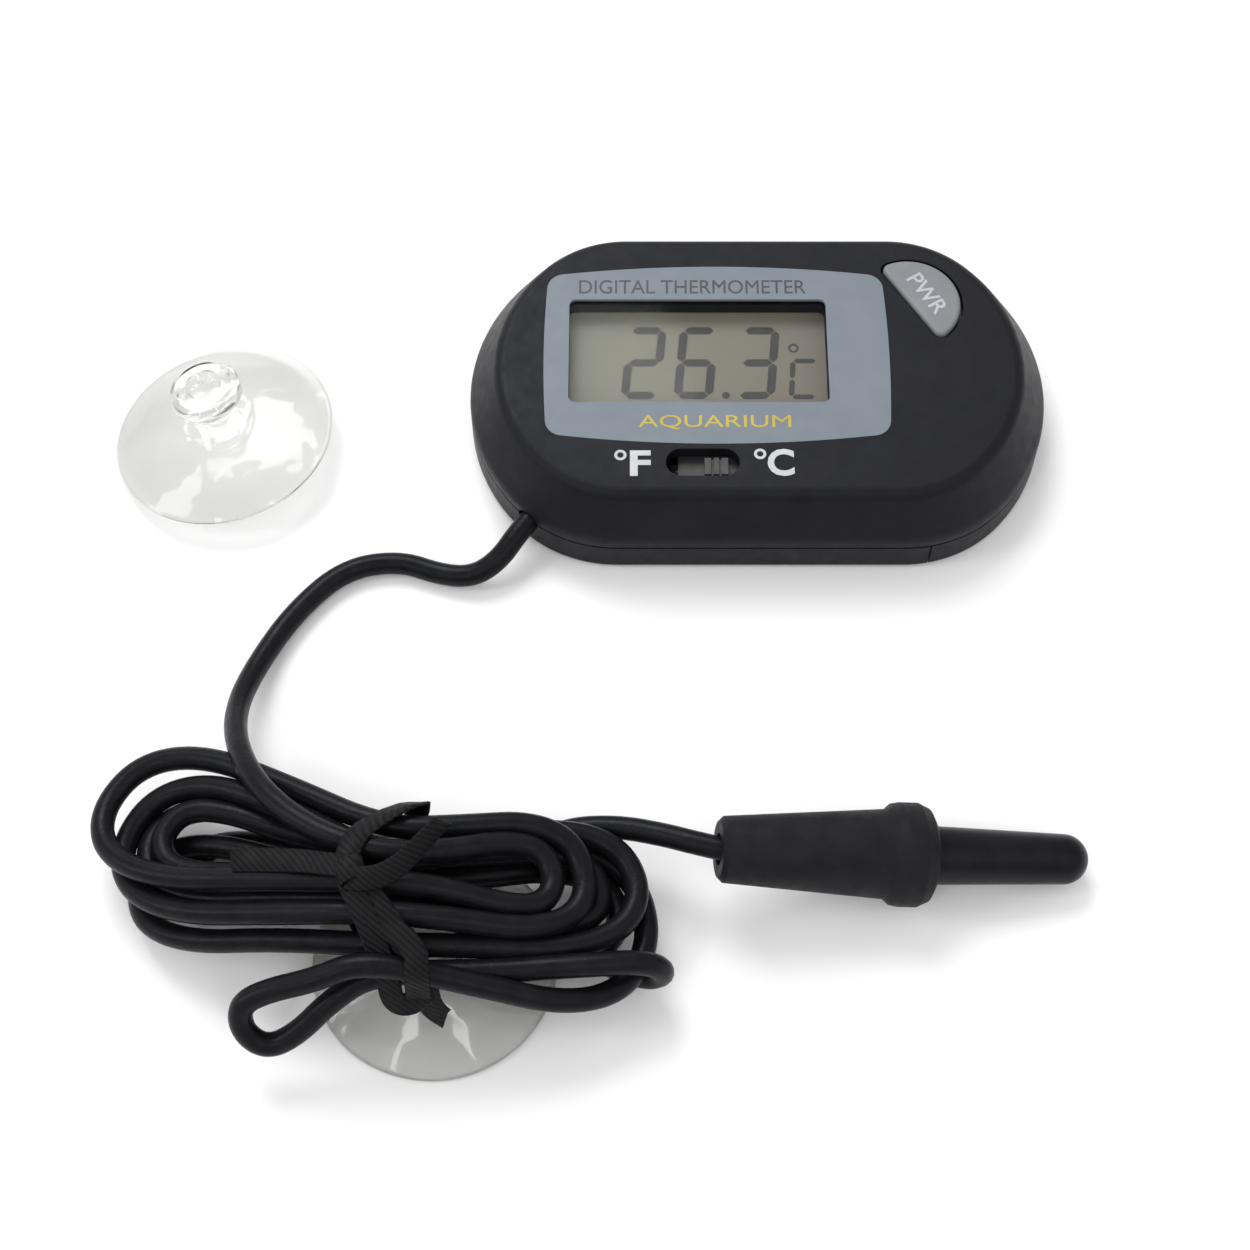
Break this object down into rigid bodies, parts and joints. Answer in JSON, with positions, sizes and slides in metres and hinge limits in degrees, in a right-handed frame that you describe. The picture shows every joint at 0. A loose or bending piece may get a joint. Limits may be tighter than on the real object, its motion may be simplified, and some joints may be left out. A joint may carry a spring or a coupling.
{
  "type": "digital aquarium thermometer",
  "caption": "Digital aquarium thermometer: flat oval display unit, corded remote probe with the lead wound in a tied hank, and two suction cups.",
  "frame": {"origin": "centre of the display unit's flat back, on the surface it lies on", "axes": "+X along the unit's long side towards the battery door, +Y towards its upper edge, +Z out of its face"},
  "size_m": [0.1076, 0.0994, 0.015],
  "materials": {
    "case_black": "fine satin texture",
    "label_grey": "satin printed label",
    "lens_clear": "clear acrylic",
    "lcd_glass": "clear glass",
    "polarizer": "grey-green film",
    "button_grey": "satin",
    "slider_black": "satin",
    "inner_black": "matt",
    "board_green": "solder resist",
    "epoxy_black": "glossy resin",
    "elastomer": "matt",
    "component": "matt",
    "steel": "nickel plated",
    "contact": "nickel plated spring strip",
    "pvc_black": "soft satin PVC",
    "core_red": "satin",
    "tie_black": "fine ribbed ribbon",
    "probe_rubber": "matt moulded rubber",
    "probe_plastic": "semi gloss",
    "resin": "glossy resin",
    "cup_clear": "clear soft PVC"
  },
  "bodies": {
    "root": {"front_cover": "case_black", "rear_cover": "case_black", "label_plate": "label_grey", "display_lens": "lens_clear", "front_polarizer": "polarizer", "lcd_front_glass": "lcd_glass", "lcd_rear_glass": "lcd_glass", "reflector_film": "polarizer", "connector_strips": "elastomer", "lcd_frame": "inner_black", "circuit_board": "board_green", "chip_cover": "epoxy_black", "chip_resistors": "component", "crystal": "steel", "switch_base": "inner_black", "switch_dome": "steel", "slide_switch_case": "steel", "button_cell": "steel", "cell_cradle": "inner_black", "side_contact": "contact", "top_contact": "contact", "case_screws": "steel", "cord_clamp": "inner_black", "inner_cores": "core_red", "cord_body_run": "pvc_black", "cord_hank": "pvc_black", "cord_probe_run": "pvc_black", "cord_tie": "tie_black", "probe_sleeve": "probe_rubber", "probe_tip": "probe_plastic", "sensing_bead": "resin", "bead_wires": "steel", "suction_cup_hank": "cup_clear"},
    "power_button": {"power_button": "button_grey", "switch_plunger": "component"},
    "unit_slider": {"unit_slider": "slider_black", "slide_switch_lever": "component"},
    "battery_door": {"battery_door": "case_black"},
    "loose_cup": {"suction_cup_free": "cup_clear"}
  },
  "joints": [
    {"name": "power_press", "type": "slide", "parent": "root", "child": "power_button", "axis": [0, 0, 1], "range_m": [-0.0006, 0], "stiffness_N_per_m": 800},
    {"name": "unit_select", "type": "slide", "parent": "root", "child": "unit_slider", "axis": [1, 0, 0], "range_m": [-0.003, 0]},
    {"name": "door_slide", "type": "slide", "parent": "root", "child": "battery_door", "axis": [1, 0, 0], "range_m": [0, 0.017]},
    {"name": "cup_lift", "type": "slide", "parent": "root", "child": "loose_cup", "axis": [0, 0, 1], "range_m": [0, 0.03]}
  ]
}
